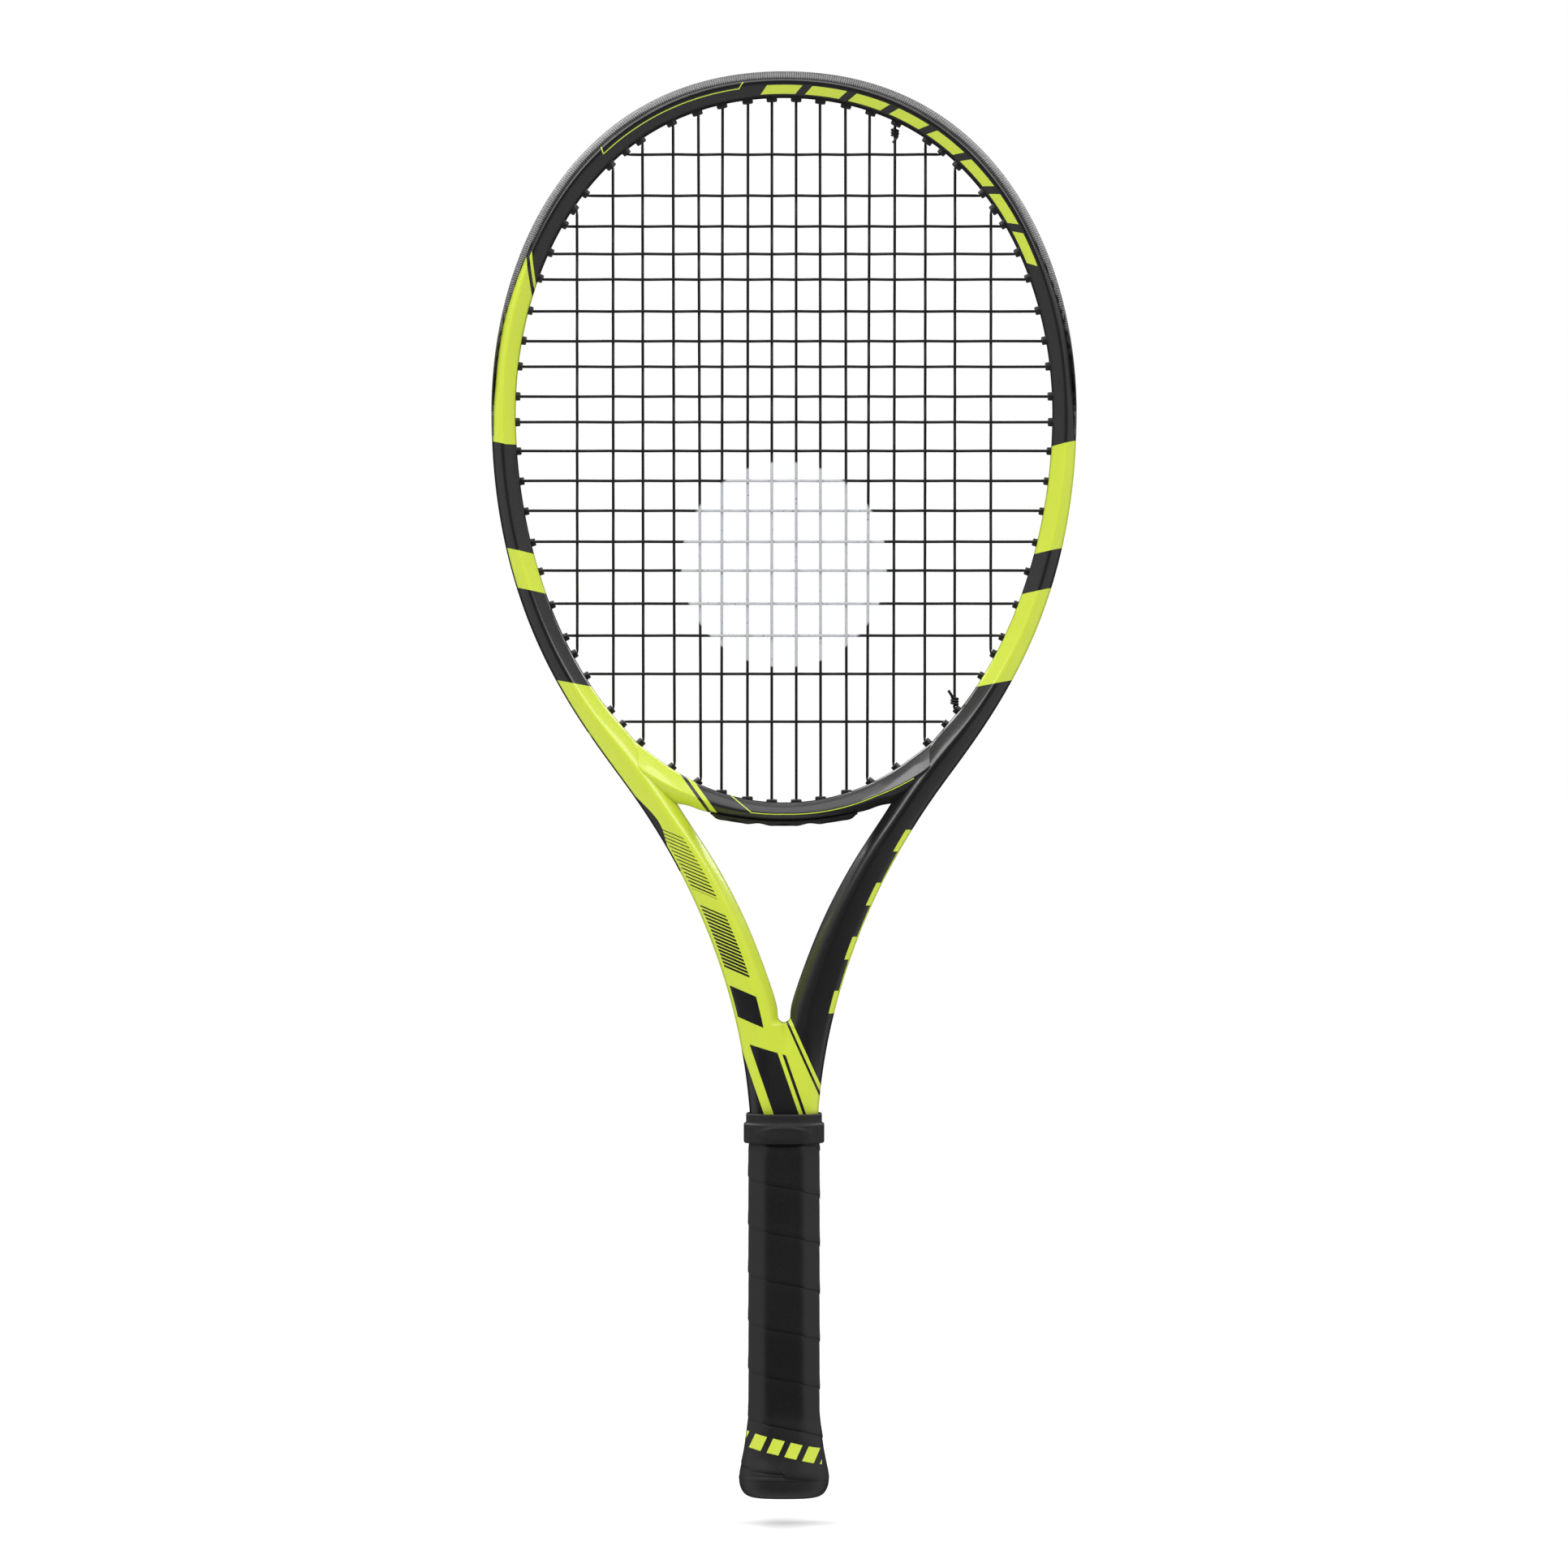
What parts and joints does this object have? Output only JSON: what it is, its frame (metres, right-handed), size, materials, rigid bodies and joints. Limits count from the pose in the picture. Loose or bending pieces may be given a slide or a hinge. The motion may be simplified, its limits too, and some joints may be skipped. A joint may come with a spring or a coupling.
{
  "type": "tennis racket",
  "caption": "Junior tennis racket with an oval strung head, open V-shaped throat, spiral-wrapped octagonal grip, rubber collar and flared butt cap.",
  "frame": {"origin": "centre of the butt end, where the butt cap's flat rim would rest", "axes": "+Z along the racket from butt to tip; +X across the head; Y through the string bed, and the face with the printed front looks along -Y"},
  "size_m": [0.2712, 0.0392, 0.6604],
  "materials": {
    "frame_paint": "gloss",
    "bridge_paint": "gloss",
    "bumper_nylon": "matte",
    "grommet_nylon": "satin",
    "string_polymer": "satin",
    "handle_foam": "matte",
    "cap_plastic": "satin",
    "staple_steel": "satin",
    "grip_cover": "satin",
    "tape": "satin",
    "collar_rubber": "matte"
  },
  "bodies": {
    "racket": {"frame_tube": "frame_paint", "throat_bridge": "bridge_paint", "bumper_guard": "bumper_nylon", "grommet_strip_left": "grommet_nylon", "grommet_strip_right": "grommet_nylon", "throat_grommet_strip": "grommet_nylon", "main_strings": "string_polymer", "cross_strings": "string_polymer", "string_turns": "string_polymer", "string_knots": "string_polymer", "handle_foam": "handle_foam", "butt_cap": "cap_plastic", "butt_cap_staples": "staple_steel", "grip": "grip_cover", "grip_staple": "staple_steel", "finishing_tape": "tape"},
    "trap_door": {"trap_door": "cap_plastic"},
    "collar": {"rubber_collar": "collar_rubber"}
  },
  "joints": [
    {"name": "trap_door_pull", "type": "slide", "parent": "racket", "child": "trap_door", "axis": [0, 0, -1], "range_m": [0, 0.012]},
    {"name": "collar_slide", "type": "slide", "parent": "racket", "child": "collar", "axis": [0, 0, 1], "range_m": [0, 0.008]}
  ]
}
